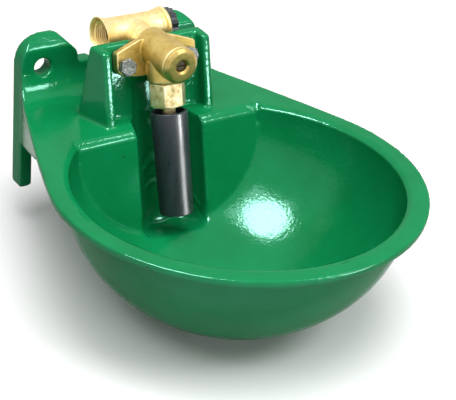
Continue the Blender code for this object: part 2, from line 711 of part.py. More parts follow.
def nose_plug(finish):
    face = -BARREL_FRONT_Y + SEAT_GAP
    front = face + PLUG_DEPTH
    profile = [(PLUG_HOLE + 0.0014, front), (PLUG_FACE_RADIUS, front),
               (PLUG_RADIUS - 0.0012, face + PLUG_RIM_DEPTH),
               (PLUG_RADIUS, face + PLUG_RIM_DEPTH - 0.001),
               (PLUG_RADIUS, face + 0.0006), (PLUG_RADIUS - 0.0006, face),
               (BARREL_BORE - SEAT_GAP, face), (BARREL_BORE - SEAT_GAP, -PLUG_SPIGOT_END_Y),
               (NEEDLE_RADIUS + SEAT_GAP, -PLUG_SPIGOT_END_Y),
               (NEEDLE_RADIUS + SEAT_GAP, -PLUG_WEB_BACK_Y),
               (SCREW_SHANK_RADIUS + SEAT_GAP, -PLUG_WEB_BACK_Y),
               (SCREW_SHANK_RADIUS + SEAT_GAP, -PLUG_WEB_FRONT_Y),
               (PLUG_HOLE, -PLUG_WEB_FRONT_Y), (PLUG_HOLE, front - 0.0014)]
    return turned("nose_plug", profile, RIM, finish, (0, 0, BARREL_Z), (math.radians(90), 0, 0),
                  closed=True, steps=40)


def ring(name, radius, thickness, parent, finish, location, rotation=(0, 0, 0), steps=32):
    """A sealing ring of round section about local Z."""
    section = [(radius + thickness * math.cos(math.radians(a)),
                -thickness * math.sin(math.radians(a))) for a in range(0, 360, 45)]
    return turned(name, section, parent, finish, location, rotation, closed=True, steps=steps)


def flow_screw(finish):
    front = -PLUG_WEB_FRONT_Y + SEAT_GAP + SCREW_HEAD_LENGTH
    shoulder = front - SCREW_HEAD_LENGTH
    screw = turned("flow_screw", [(0, front), (SCREW_HEAD_RADIUS, front),
                                  (SCREW_HEAD_RADIUS, shoulder), (SCREW_SHANK_RADIUS, shoulder),
                                  (SCREW_SHANK_RADIUS, -SCREW_END_Y), (0, -SCREW_END_Y)],
                   RIM, finish, (0, 0, BARREL_Z), (math.radians(90), 0, 0), steps=24)
    slot = box_mesh("screw slot", (-0.006, -SCREW_SLOT / 2, front - 0.0014),
                    (0.006, SCREW_SLOT / 2, front + 0.001))
    cut(screw, place(slot, "screw slot", RIM, None, (0, 0, BARREL_Z), (math.radians(90), 0, 0)))
    return screw


def flow_needle(finish):
    bore = SCREW_SHANK_RADIUS + SEAT_GAP
    front = -NEEDLE_FRONT_Y
    tip = -NEEDLE_TIP_Y
    depth = -SCREW_END_Y - 0.0045
    profile = [(0, depth), (bore, depth), (bore, front), (NEEDLE_RADIUS, front),
               (NEEDLE_RADIUS, tip + 0.004), (NEEDLE_TIP_RADIUS, tip), (0, tip)]
    return turned("flow_needle", profile, RIM, finish, (0, 0, BARREL_Z),
                  (math.radians(90), 0, 0), steps=24)


def union_nut(finish):
    """Hexagon nut with turned-down corners and a floor that carries the pivot ring."""
    top = OUTLET_SHOULDER - SEAT_GAP
    nut = place(hexagon_mesh("union nut", NUT_FLATS, NUT_BOTTOM, top, NUT_TURN_DEG), "union_nut",
                AXIS, finish)
    corner = NUT_FLATS / math.sqrt(3)
    flat = NUT_FLATS / 2
    bevel = (corner - flat) * 0.55
    keep(nut, turned("nut corners", [(0, top + 0.001), (flat - 0.001, top + 0.001),
                                     (flat, top), (corner + 0.0004, top - bevel),
                                     (corner + 0.0004, NUT_BOTTOM + bevel), (flat, NUT_BOTTOM),
                                     (flat - 0.001, NUT_BOTTOM - 0.001), (0, NUT_BOTTOM - 0.001)],
                     AXIS, steps=36))
    cavity = SPIGOT_RADIUS + SEAT_GAP
    cut(nut, turned("nut bore", [(0, top + 0.01), (cavity, top + 0.01),
                                 (cavity, NUT_BOTTOM + NUT_FLOOR), (NUT_HOLE, NUT_BOTTOM + NUT_FLOOR),
                                 (NUT_HOLE, NUT_BOTTOM - 0.01), (0, NUT_BOTTOM - 0.01)],
                    AXIS, steps=36))
    return nut


def pivot_ring(finish):
    low = NUT_BOTTOM + NUT_FLOOR + SEAT_GAP
    radius = SPIGOT_RADIUS
    body = turned("pivot_ring", [(radius, PIVOT_RING_TOP), (radius, low), (PIVOT_RING_BORE, low),
                                 (PIVOT_RING_BORE, PIVOT_RING_TOP)], AXIS, finish, closed=True,
                  steps=36)
    groove = cylinder_mesh("trunnion holes", TRUNNION_RADIUS + SEAT_GAP, -0.02, 0.02, 16)
    cut(body, place(groove, "trunnion holes", AXIS, None, (0, 0, 0), (0, math.radians(90), 0)))
    return body


def rocker(finish):
    """Disc that rocks on two trunnions and lifts the plunger with its edge."""
    half = ROCKER_THICKNESS / 2
    body = place(cylinder_mesh("rocker", ROCKER_RADIUS, -half, half, 36), "rocker", AXIS, finish)
    reach = SPIGOT_RADIUS - SEAT_GAP
    add(body, place(cylinder_mesh("trunnions", TRUNNION_RADIUS, -reach, reach, 16), "trunnions",
                    AXIS, None, (0, 0, 0), (0, math.radians(90), 0)))
    slot = box_mesh("rocker slot", (-ROCKER_SLOT[0] / 2, -ROCKER_SLOT[1] / 2, -0.004),
                    (ROCKER_SLOT[0] / 2, ROCKER_SLOT[1] / 2, 0.004))
    cut(body, place(slot, "rocker slot", AXIS))
    hole = cylinder_mesh("pin hole", ROCKER_PIN_RADIUS + SEAT_GAP, -0.02, 0.02, 16)
    cut(body, place(hole, "rocker pin hole", AXIS, None, (0, 0, 0), (math.radians(90), 0, 0)))
    return body


def rocker_pin(finish):
    reach = ROCKER_RADIUS - 0.0012
    return place(cylinder_mesh("rocker pin", ROCKER_PIN_RADIUS, -reach, reach, 16), "rocker_pin",
                 AXIS, finish, (0, 0, 0), (math.radians(90), 0, 0))


def tube_stem(finish):
    hub_top = -TUBE_TOP_DROP - HUB_DROP
    neck_end = hub_top + SEAT_GAP
    stud_end = hub_top - HUB_HEIGHT - HUB_NUT_HEIGHT - 2 * SEAT_GAP - STUD_OVERHANG
    stem = turned("tube_stem", [(0, NECK_TOP), (NECK_RADIUS - 0.0006, NECK_TOP),
                                (NECK_RADIUS, NECK_TOP - 0.0006), (NECK_RADIUS, neck_end),
                                (STUD_RADIUS, neck_end), (STUD_RADIUS, stud_end + 0.0008),
                                (STUD_RADIUS - 0.0008, stud_end), (0, stud_end)],
                  AXIS, finish, steps=32)
    tongue = box_mesh("tongue", (-TONGUE[0] / 2, -TONGUE[1] / 2, NECK_TOP - 0.002),
                      (TONGUE[0] / 2, TONGUE[1] / 2, TONGUE_TOP))
    add(stem, place(tongue, "stem tongue", AXIS))
    hole = cylinder_mesh("stem pin hole", ROCKER_PIN_RADIUS + SEAT_GAP, -0.02, 0.02, 16)
    cut(stem, place(hole, "stem pin hole", AXIS, None, (0, 0, 0), (math.radians(90), 0, 0)))
    return stem


def tube_hub(finish):
    """Three arms between a rim that fits the tube's bore and a core on the stem's stud."""
    top = -TUBE_TOP_DROP - HUB_DROP
    low = top - HUB_HEIGHT
    rim = TUBE_BORE - SEAT_GAP
    hub = turned("tube_hub", [(rim, top), (rim, low), (rim - HUB_RIM, low), (rim - HUB_RIM, top)],
                 AXIS, finish, closed=True, steps=36)
    for index in range(3):
        arm = box_mesh("arm", (0.001, -HUB_SPOKE / 2, low + 0.001), (rim - HUB_RIM / 2,
                                                                   HUB_SPOKE / 2, top - 0.001))
        add(hub, place(arm, f"hub arm {index}", AXIS, None, (0, 0, 0),
                       (0, 0, math.radians(120 * index + 30))))
    add(hub, place(cylinder_mesh("core", HUB_CORE, low, top, 24), "hub core", AXIS))
    cut(hub, place(cylinder_mesh("stud hole", STUD_RADIUS + SEAT_GAP, low - 0.002, top + 0.002, 24),
                   "stud hole", AXIS))
    return hub


def hex_nut(name, finish, low, high, parent, location=(0, 0, 0), rotation=(0, 0, 0)):
    nut = place(hexagon_mesh(name, HEX_FLATS, low, high), name, parent, finish, location, rotation)
    cut(nut, place(cylinder_mesh(f"{name} bore", BOLT_RADIUS + SEAT_GAP, low - 0.002, high + 0.002, 20),
                   f"{name} bore", parent, None, location, rotation))
    return nut


def push_tube(finish):
    top = -TUBE_TOP_DROP
    low = top - TUBE_LENGTH
    edge = 0.0006
    return turned("push_tube", [(TUBE_RADIUS - edge, top), (TUBE_RADIUS, top - edge),
                                (TUBE_END_RADIUS, low + edge), (TUBE_END_RADIUS - edge, low),
                                (TUBE_BORE, low), (TUBE_BORE, top)], AXIS, finish, closed=True,
                  steps=40)


def plunger_group(metal, rubber, plastic):
    """Plunger with its washer and foot, the seat insert and the return spring."""
    foot_low = ROCKER_THICKNESS / 2 + SEAT_GAP
    foot_top = foot_low + FOOT_THICKNESS
    seat_top = SEAT_STEP - SEAT_GAP
    seal_low = seat_top + SEAT_GAP
    seal_top = seal_low + SEAL_THICKNESS
    head_low = seal_top + SEAT_GAP
    head_top = head_low + HEAD_THICKNESS
    stem_hole = PLUNGER_STEM + SEAT_GAP
    turned("plunger", [(0, head_top + PILOT_LENGTH), (PLUNGER_STEM, head_top + PILOT_LENGTH),
                       (PLUNGER_STEM, head_top), (PLUNGER_HEAD, head_top), (PLUNGER_HEAD, head_low),
                       (PLUNGER_STEM, head_low), (PLUNGER_STEM, foot_low + 0.0006),
                       (0, foot_low + 0.0006)], AXIS, metal, steps=24)
    turned("plunger_foot", [(FOOT_RADIUS, foot_top), (FOOT_RADIUS, foot_low), (stem_hole, foot_low),
                            (stem_hole, foot_top)], AXIS, plastic, closed=True, steps=24)
    turned("plunger_seal", [(PLUNGER_HEAD, seal_top), (PLUNGER_HEAD, seal_low), (stem_hole, seal_low),
                            (stem_hole, seal_top)], AXIS, rubber, closed=True, steps=24)
    collar_top = SPIGOT_END - SEAT_GAP
    collar_low = PIVOT_RING_TOP + SEAT_GAP
    turned("valve_seat", [(SEAT_RADIUS, seat_top), (SEAT_RADIUS, collar_top),
                          (SEAT_COLLAR, collar_top), (SEAT_COLLAR, collar_low),
                          (SEAT_SKIRT_BORE, collar_low), (SEAT_SKIRT_BORE, seat_top - SEAT_HEIGHT),
                          (SEAT_BORE, seat_top - SEAT_HEIGHT), (SEAT_BORE, seat_top)],
           AXIS, plastic, closed=True, steps=32)
    return_spring(metal, head_top + SEAT_GAP, SPRING_BORE_END - SEAT_GAP)


def return_spring(finish, low, high):
    """Compression spring: one open helix with a closed turn's height at each end."""
    per_turn = 10
    rise = (high - low) - 2 * SPRING_WIRE
    curve = bpy.data.curves.new("return spring", "CURVE")
    curve.dimensions = "3D"
    curve.bevel_depth = SPRING_WIRE
    curve.bevel_resolution = 1
    curve.use_fill_caps = True
    spline = curve.splines.new("POLY")
    count = SPRING_TURNS * per_turn
    spline.points.add(count)
    for index, point in enumerate(spline.points):
        angle = 2 * math.pi * index / per_turn
        height = low + SPRING_WIRE + rise * index / count
        point.co = (SPRING_RADIUS * math.cos(angle), SPRING_RADIUS * math.sin(angle), height, 1)
    spring = bpy.data.objects.new("return_spring", curve)
    spring.parent = AXIS
    PARTS.objects.link(spring)
    curve.materials.append(finish)
    gap = rise / SPRING_TURNS - 2 * SPRING_WIRE
    print(f"return_spring: least gap between turns {gap * 1000:.2f} mm")


def flange_gasket(finish):
    low = valve_flange_front() + VALVE_FLANGE_THICKNESS + SEAT_GAP
    gasket = place(leaning_plate(valve_flange_outline(-0.0005), "gasket", low, low + GASKET_THICKNESS),
                   "flange_gasket", FACE, finish)
    radius = BARREL_RADIUS + 0.0006
    cut(gasket, place(cylinder_mesh("gasket hole", radius, -TEE_Y, -BARREL_FRONT_Y), "gasket hole",
                      RIM, None, (0, 0, BARREL_Z), (math.radians(90), 0, 0)))
    for side in (1, -1):
        hole = cylinder_mesh("gasket bolt hole", BOLT_HOLE, -0.04, 0.02, 20)
        cut(gasket, place(hole, f"gasket bolt hole {side}", FACE, None,
                          (side * BOLT_X, 0, BOLT_HEIGHT), (math.radians(90), 0, 0)))
    return gasket


def fasteners(finish):
    """Two hexagon bolts through flange and panel, with washers and nuts behind."""
    head_low = -valve_flange_front() + SEAT_GAP
    panel_back = panel_face() + PANEL_THICKNESS
    washer_front = -panel_back - SEAT_GAP
    washer_back = washer_front - WASHER_THICKNESS
    nut_front = washer_back - SEAT_GAP
    nut_back = nut_front - NUT_HEIGHT
    turn = (math.radians(90), 0, 0)
    for side, word in ((-1, "left"), (1, "right")):
        spot = (side * BOLT_X, 0, BOLT_HEIGHT)
        bolt = place(hexagon_mesh("head", HEX_FLATS, head_low, head_low + BOLT_HEAD, 17 * side),
                     f"flange_bolt_{word}", FACE, finish, spot, turn)
        top = head_low + BOLT_HEAD
        flat = HEX_FLATS / 2
        beyond = HEX_FLATS / math.sqrt(3) + 0.0003
        corners = [(0, top + 0.001), (flat - 0.001, top + 0.0006), (flat - 0.0002, top),
                   (beyond, top - 0.0007), (beyond, head_low - 0.001), (0, head_low - 0.001)]
        keep(bolt, turned(f"head corners {word}", corners, FACE, None, spot, turn, steps=24))
        shank = cylinder_mesh("shank", BOLT_RADIUS, nut_back - 0.001, head_low + 0.001, 20)
        add(bolt, place(shank, f"shank {word}", FACE, None, spot, turn))
        turned(f"flange_washer_{word}", [(WASHER_RADIUS, washer_front), (WASHER_RADIUS, washer_back),
                                         (BOLT_HOLE, washer_back), (BOLT_HOLE, washer_front)],
               FACE, finish, spot, turn, closed=True, steps=24)
        hex_nut(f"flange_nut_{word}", finish, nut_back, nut_front, FACE, spot, turn)


def end_plug(finish):
    """Ribbed hand plug in the right end of the through pipe."""
    face = TEE_HALF_LENGTH + SEAT_GAP
    points = []
    for index in range(END_PLUG_RIBS * 4):
        angle = 2 * math.pi * index / (END_PLUG_RIBS * 4)
        radius = END_PLUG_HEAD_RADIUS - (END_PLUG_RIB if index % 4 in (2, 3) else 0)
        points.append((radius * math.cos(angle), radius * math.sin(angle)))
    head = outline_mesh("end plug head", points, END_PLUG_HEAD)
    head.transform(Matrix.Translation((0, 0, face + END_PLUG_HEAD / 2)))
    turn = (0, math.radians(90), 0)
    plug = place(head, "end_plug", RIM, finish, (0, TEE_Y, BARREL_Z), turn)
    body = cylinder_mesh("end plug body", TEE_BORE - SEAT_GAP, face - END_PLUG_BODY, face + 0.001, 32)
    add(plug, place(body, "end plug body", RIM, None, (0, TEE_Y, BARREL_Z), turn))
    hollow = cylinder_mesh("end plug hollow", 0.0085, face - END_PLUG_BODY - 0.001, face - 0.002, 24)
    cut(plug, place(hollow, "end plug hollow", RIM, None, (0, TEE_Y, BARREL_Z), turn))
    dish = cylinder_mesh("end plug dish", 0.0090, face + END_PLUG_HEAD - 0.003,
                         face + END_PLUG_HEAD + 0.001, 24)
    cut(plug, place(dish, "end plug dish", RIM, None, (0, TEE_Y, BARREL_Z), turn))


clear_scene()
PARTS = collection("automatic drinking bowl")
CUTTERS = collection("cutters")
WALL = empty("wall_datum")
RIM = empty("rim_datum", WALL, (0, 0, -RIM_DROP))
FACE = empty("tower_face", RIM, (0, wall_y(PIVOT_Z), PIVOT_Z), (-LEAN, 0, 0))
AXIS = empty("tube_axis", RIM, (0, PIVOT_Y, PIVOT_Z), (-TUBE_LEAN, 0, 0))

ENAMEL = material("green enamel", (0.010, 0.270, 0.100), 0.22)
CAST_BRASS = material("cast brass", (0.560, 0.390, 0.120), 0.45, 1.0)
BRIGHT_BRASS = material("turned brass", (0.860, 0.640, 0.220), 0.22, 1.0)
ZINC = material("zinc plate", (0.560, 0.570, 0.590), 0.35, 1.0)
BLACK = material("black plastic", (0.020, 0.026, 0.030), 0.35)
RUBBER = material("black rubber", (0.015, 0.015, 0.015), 0.80)
NYLON = material("white nylon", (0.780, 0.770, 0.720), 0.45)
STEEL = material("stainless steel", (0.600, 0.600, 0.600), 0.28, 1.0)

casting(ENAMEL)
valve_body(CAST_BRASS)
supply_tee(BRIGHT_BRASS)
ring("tee_ring", SOCKET_RADIUS - 0.0019, 0.0009, RIM, RUBBER,
     (0, BARREL_BACK_Y - SOCKET_DEPTH + 0.0012, BARREL_Z), (math.radians(90), 0, 0))
nose_plug(BRIGHT_BRASS)
ring("nose_seal", (BARREL_BORE + NOSE_COUNTERBORE) / 2, 0.0009, RIM, RUBBER,
     (0, BARREL_FRONT_Y + NOSE_COUNTERBORE_DEPTH / 2, BARREL_Z), (math.radians(90), 0, 0))
flow_screw(BRIGHT_BRASS)
flow_needle(BRIGHT_BRASS)
union_nut(BRIGHT_BRASS)
pivot_ring(NYLON)
rocker(BRIGHT_BRASS)
rocker_pin(STEEL)
tube_stem(BRIGHT_BRASS)
tube_hub(NYLON)
hub_nut_top = -TUBE_TOP_DROP - HUB_DROP - HUB_HEIGHT - SEAT_GAP
hex_nut("hub_nut", ZINC, hub_nut_top - HUB_NUT_HEIGHT, hub_nut_top, AXIS)
push_tube(BLACK)
plunger_group(STEEL, RUBBER, NYLON)
flange_gasket(RUBBER)
fasteners(ZINC)
end_plug(BLACK)
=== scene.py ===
"""Automatic drinking bowl: green enamelled iron bowl on a wall bracket, with a brass tube valve.

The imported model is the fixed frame. Each section below makes one piece, or one group of like
pieces, in the order in which the real one is put together.
"""

import json
import math

import bmesh
import bpy
import numpy as np
from mathutils import Matrix, Vector

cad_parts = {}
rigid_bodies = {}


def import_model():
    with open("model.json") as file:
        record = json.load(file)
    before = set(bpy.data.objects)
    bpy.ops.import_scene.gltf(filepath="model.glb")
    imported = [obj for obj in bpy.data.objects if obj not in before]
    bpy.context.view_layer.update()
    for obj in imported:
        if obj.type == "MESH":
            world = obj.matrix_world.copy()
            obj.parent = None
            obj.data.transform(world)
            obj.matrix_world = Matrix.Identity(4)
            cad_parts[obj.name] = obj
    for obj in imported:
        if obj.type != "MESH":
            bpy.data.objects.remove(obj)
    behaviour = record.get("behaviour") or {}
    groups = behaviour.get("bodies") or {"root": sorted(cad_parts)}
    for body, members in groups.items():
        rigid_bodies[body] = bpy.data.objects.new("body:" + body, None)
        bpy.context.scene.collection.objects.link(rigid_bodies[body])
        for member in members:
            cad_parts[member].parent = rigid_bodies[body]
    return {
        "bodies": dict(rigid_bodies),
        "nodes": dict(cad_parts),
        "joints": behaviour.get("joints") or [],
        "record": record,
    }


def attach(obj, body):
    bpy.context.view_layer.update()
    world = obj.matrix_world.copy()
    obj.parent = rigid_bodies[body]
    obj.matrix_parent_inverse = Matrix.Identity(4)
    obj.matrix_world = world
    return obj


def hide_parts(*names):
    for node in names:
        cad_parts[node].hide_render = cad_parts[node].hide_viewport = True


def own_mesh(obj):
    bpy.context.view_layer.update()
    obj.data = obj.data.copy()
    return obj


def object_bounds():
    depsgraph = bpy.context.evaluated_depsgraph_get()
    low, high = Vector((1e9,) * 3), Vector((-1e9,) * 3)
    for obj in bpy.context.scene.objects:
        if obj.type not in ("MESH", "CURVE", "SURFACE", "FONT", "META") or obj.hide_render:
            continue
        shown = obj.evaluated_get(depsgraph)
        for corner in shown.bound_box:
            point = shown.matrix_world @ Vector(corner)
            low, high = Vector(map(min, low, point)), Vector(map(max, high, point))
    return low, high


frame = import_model()
cad_box = [list(corner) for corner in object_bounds()]
cad = frame["nodes"]

# Camera. A long lens looks down into the bowl from the left front, rolled a little, as in the
# picture. It is measured from the rim's top face, which lies below the ear holes.
rim_drop = 0.022
camera_azimuth = math.radians(-36.75)
camera_elevation = math.radians(29.34)
camera_roll = math.radians(5.45)
camera_distance = 1.2297
camera_aside = 0.1059
camera_drop = -0.1081
focal_in_widths = 1460.47 / 456

back = Vector((math.sin(camera_azimuth) * math.cos(camera_elevation),
               -math.cos(camera_azimuth) * math.cos(camera_elevation),
               math.sin(camera_elevation)))
level = Vector((math.cos(camera_azimuth), math.sin(camera_azimuth), 0))
upright = level.cross(-back)
right = level * math.cos(camera_roll) + upright * math.sin(camera_roll)
above = upright * math.cos(camera_roll) - level * math.sin(camera_roll)
eye = back * camera_distance + right * camera_aside + above * camera_drop
eye.z -= rim_drop

lens = bpy.data.cameras.new("camera")
lens.sensor_width = 36.0
lens.sensor_fit = "HORIZONTAL"
lens.lens = focal_in_widths * lens.sensor_width
lens.clip_start = 0.05
lens.clip_end = 20.0
camera = bpy.data.objects.new("camera", lens)
camera.matrix_world = Matrix.Translation(eye) @ Matrix((right, above, back)).transposed().to_4x4()
bpy.context.scene.collection.objects.link(camera)
bpy.context.scene.camera = camera

# Enamelled casting. Bowl, rim, bracket and valve tower are one iron casting. It is sand cast,
# blasted, dipped in green glass enamel and fired, so every edge is soft and the glass lies in
# small waves over the grain of the sand.
bowl_centre = Vector((0, -0.204, -rim_drop))
cavity_size = (0.126, 0.109)       # radius and depth of the half ellipsoids
shell_size = (0.1315, 0.1145)
casting_voxel = 0.0013
casting_limit = 190000             # triangles
skin_reach = (0.0006, 0.0015)      # faces this near the ellipsoids are laid on them exactly
tower_half = 0.0425                # half the width between the posts
panel_front = (-0.0880, -0.0760)   # the recessed panel lies between these depths
panel_hang = (-0.018, 0.012)       # heights of its foot and of the valve flange's lower edge
panel_set = 0.0022                 # the panel's foot stands this much further back
panel_reach = (0.0045, 0.0075)     # full effect, and none, from the middle of those depths
panel_side = 0.004                 # the effect dies out over this width beside each post
wall_foot = -0.108                 # the back wall at the height of the rim
crease_reach = 0.008               # it runs into the bowl in a soft fillet this far each way
crease_full = 0.6                  # the fillet is whole over this share of its reach
crease_top = -0.014                # it starts this far below the rim
crease_steps = 10
crease_rounds = 40
lean = math.radians(13)


def piece_from(name, bm):
    """A finished piece from its mesh, with its place in the mesh."""
    mesh = bpy.data.meshes.new(name)
    bm.to_mesh(mesh)
    bm.free()
    piece = bpy.data.objects.new(name, mesh)
    bpy.context.scene.collection.objects.link(piece)
    return piece


def copy_of(name, new_name):
    """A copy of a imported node's mesh, with its points merged, as a new piece."""
    mesh = cad[name].data.copy()
    bm = bmesh.new()
    bm.from_mesh(mesh)
    bmesh.ops.remove_doubles(bm, verts=bm.verts, dist=1e-6)
    bm.to_mesh(mesh)
    bm.free()
    piece = bpy.data.objects.new(new_name, mesh)
    bpy.context.scene.collection.objects.link(piece)
    return piece


def settle(piece):
    """Applies the piece's modifiers."""
    bpy.context.view_layer.update()
    evaluated = piece.evaluated_get(bpy.context.evaluated_depsgraph_get())
    mesh = bpy.data.meshes.new_from_object(evaluated)
    piece.modifiers.clear()
    old = piece.data
    piece.data = mesh
    bpy.data.meshes.remove(old)


def soften(piece, voxel, rounds):
    """Rebuilds a closed solid in small even faces and rounds its edges."""
    skin = piece.modifiers.new("skin", "REMESH")
    skin.mode = "VOXEL"
    skin.voxel_size = voxel
    rounding = piece.modifiers.new("rounding", "SMOOTH")
    rounding.factor = 0.5
    rounding.iterations = rounds
    settle(piece)


def thin_out(piece, limit):
    """Brings the piece down to about this many triangles."""
    trim = piece.modifiers.new("trim", "DECIMATE")
    trim.ratio = min(1.0, limit / (2 * len(piece.data.polygons)))
    settle(piece)
    piece.data.shade_smooth()


def points_of(mesh):
    """The mesh's points as rows of three."""
    found = np.empty(len(mesh.vertices) * 3, np.float32)
    mesh.vertices.foreach_get("co", found)
    return found.reshape(-1, 3).astype(float)


def put_points(mesh, points):
    """Moves the mesh's points to these rows."""
    mesh.vertices.foreach_set("co", points.astype(np.float32).ravel())
    mesh.update()


def near(distance, full, none):
    """1 where the distance is under full, falling smoothly to 0 at none."""
    t = np.clip((none - np.abs(distance)) / (none - full), 0, 1)
    return t * t * (3 - 2 * t)


def from_ellipsoid(spots, size):
    """Each point from the bowl's centre, its share of the ellipsoid's reach, and its distance."""
    away = spots - np.array(bowl_centre)
    share = np.linalg.norm(away / np.array((size[0], size[0], size[1])), axis=1)
    off = (share - 1) * np.linalg.norm(away, axis=1) / np.maximum(share, 0.01)
    return away, share, off


def shaded(name, colour, roughness, metallic=0.0):
    """A new material with its shader."""
    made = bpy.data.materials.new(name)
    made.use_nodes = True
    shader = made.node_tree.nodes["Principled BSDF"]
    shader.inputs["Base Color"].default_value = (*colour, 1)
    shader.inputs["Roughness"].default_value = roughness
    shader.inputs["Metallic"].default_value = metallic
    return made, shader


def node(made, kind, settings=(), **inputs):
    """A shader node with its settings and its inputs, each a value or another node's output.

    An input goes by its socket's name, or by its place as i0, i1 and so on.
    """
    new = made.node_tree.nodes.new(kind)
    for key, value in dict(settings).items():
        setattr(new, key, value)
    for key, value in inputs.items():
        socket = new.inputs[int(key[1:])] if key[0] == "i" and key[1:].isdigit() \
            else new.inputs[key.replace("_", " ")]
        if isinstance(value, bpy.types.NodeSocket):
            made.node_tree.links.new(value, socket)
        else:
            socket.default_value = value
    return new


def ramp(made, value, stops):
    """A colour ramp over value, with stops of (place, colour)."""
    new = node(made, "ShaderNodeValToRGB", i0=value)
    while len(new.color_ramp.elements) < len(stops):
        new.color_ramp.elements.new(0.5)
    for element, (place, colour) in zip(new.color_ramp.elements, stops):
        element.position = place
        element.color = (*colour, 1) if len(colour) == 3 else colour
    return new.outputs[0]


def grey(made, value, stops):
    """A ramp of plain values."""
    return ramp(made, value, [(place, (tone, tone, tone)) for place, tone in stops])


def object_place(made, scale=(1, 1, 1)):
    """Object coordinates, stretched for a pattern."""
    where = node(made, "ShaderNodeTexCoord").outputs["Object"]
    return node(made, "ShaderNodeMapping", Vector=where, Scale=scale).outputs["Vector"]


def noise(made, scale, detail=2.0, roughness=0.5, where=None):
    """Noise over Object coordinates, in turns per metre."""
    if where is None:
        where = node(made, "ShaderNodeTexCoord").outputs["Object"]
    return node(made, "ShaderNodeTexNoise", Vector=where, Scale=scale, Detail=detail,
                Roughness=roughness).outputs["Fac"]


def bump(made, height, distance, under=None):
    """A bump whose height of 0 to 1 stands for a distance in metres."""
    new = node(made, "ShaderNodeBump", Height=height, Distance=distance)
    if under is not None:
        made.node_tree.links.new(under, new.inputs["Normal"])
    return new.outputs["Normal"]


def drive(made, socket, value):
    """Lets another node's output set a shader's socket."""
    made.node_tree.links.new(value, socket)


def paint(piece, made):
    """Gives the piece this one material."""
    piece.data.materials.clear()
    piece.data.materials.append(made)


casting = copy_of("bowl_casting", "enamelled_casting")
soften(casting, casting_voxel, 6)
spots = points_of(casting.data)
# lay the bowl's skins on their ellipsoids, and set the panel's foot back
for size in (cavity_size, shell_size):
    away, share, off = from_ellipsoid(spots, size)
    pull = near(off, *skin_reach) * (away[:, 2] < 0)
    spots = spots + away * (pull * (1 / np.maximum(share, 0.01) - 1))[:, None]
hanging = np.clip((panel_hang[1] - spots[:, 2]) / (panel_hang[1] - panel_hang[0]), 0, 1)
depth = spots[:, 1] - math.tan(lean) * spots[:, 2]
inside = near(spots[:, 0], tower_half - panel_side, tower_half)
inside = inside * near(depth - sum(panel_front) / 2, *panel_reach)
spots[:, 1] += panel_set * hanging * inside
put_points(casting.data, spots)
# round out the crease between bowl and back wall
away, share, off = from_ellipsoid(spots, cavity_size)
wall = (spots[:, 1] - wall_foot - math.tan(lean) * (spots[:, 2] + rim_drop)) * math.cos(lean)
whole = crease_reach * crease_full
crease = near(off, whole, crease_reach) * near(wall, whole, crease_reach)
crease = crease * (away[:, 2] < crease_top)
group = casting.vertex_groups.new(name="crease")
for step in range(1, crease_steps + 1):
    chosen = np.nonzero(np.round(crease * crease_steps) == step)[0]
    group.add(chosen.tolist(), step / crease_steps, "REPLACE")
fillet = casting.modifiers.new("fillet", "SMOOTH")
fillet.vertex_group = "crease"
fillet.factor = 0.5
fillet.iterations = crease_rounds
settle(casting)
thin_out(casting, casting_limit)

enamel, shader = shaded("green_enamel", (0.004, 0.235, 0.072), 0.10)
shader.inputs["IOR"].default_value = 1.40
shader.inputs["Specular Tint"].default_value = (0.50, 1.0, 0.88, 1)
surface = bump(enamel, noise(enamel, 150.0, 1.0, 0.4), 0.00011)
surface = bump(enamel, noise(enamel, 430.0, 2.0, 0.5), 0.00013, under=surface)
# the fired glass gives less mirror at a slant than clear varnish would
facing = node(enamel, "ShaderNodeLayerWeight").outputs["Facing"]
drive(enamel, shader.inputs["Specular IOR Level"],
      grey(enamel, facing, [(0.20, 0.5), (0.45, 0.12), (0.75, 0.02)]))
# pinholes are far apart and under a millimetre wide, dark at the bottom
pits = node(enamel, "ShaderNodeTexVoronoi", Vector=object_place(enamel), Scale=26.0)
pinholes = grey(enamel, pits.outputs["Distance"], [(0.012, 0.0), (0.024, 1.0)])
surface = bump(enamel, pinholes, 0.0004, under=surface)
drive(enamel, shader.inputs["Normal"], surface)
shade = ramp(enamel, noise(enamel, 24.0, 3.0, 0.6),
             [(0.3, (0.0022, 0.172, 0.051)), (0.7, (0.0036, 0.210, 0.067))])
holed = node(enamel, "ShaderNodeMix", {"data_type": "RGBA"}, i0=pinholes, i6=(0.01, 0.02, 0.015, 1),
             i7=shade)
drive(enamel, shader.inputs["Base Color"], holed.outputs[2])
paint(casting, enamel)
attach(casting, "base")
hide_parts("bowl_casting")

# Rubber pad between the valve's flange and the panel. Cut from sheet, it fills the unevenness of
# the rough castings.
black_rubber, shader = shaded("black_rubber", (0.020, 0.020, 0.021), 0.75)
drive(black_rubber, shader.inputs["Roughness"],
      grey(black_rubber, noise(black_rubber, 300.0), [(0.3, 0.62), (0.7, 0.85)]))
drive(black_rubber, shader.inputs["Normal"], bump(black_rubber, noise(black_rubber, 2500.0), 0.00004))


def dress(name, made, edge=0.0003):
    """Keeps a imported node, with its edges broken and its own finish."""
    piece = cad[name]
    weld = piece.modifiers.new("weld", "WELD")
    weld.merge_threshold = 1e-6
    broken = piece.modifiers.new("broken_edges", "BEVEL")
    broken.width = edge
    broken.segments = 2
    broken.limit_method = "ANGLE"
    broken.angle_limit = math.radians(35)
    paint(piece, made)


dress("flange_gasket", black_rubber, 0.0002)

# Valve body. Bolting flange, barrel and tilted outlet are one brass sand casting, tumbled but not
# machined outside, so it is pale yellow and grainy.
barrel_height = 0.0323
body_voxel = 0.00055
body_limit = 150000                # triangles


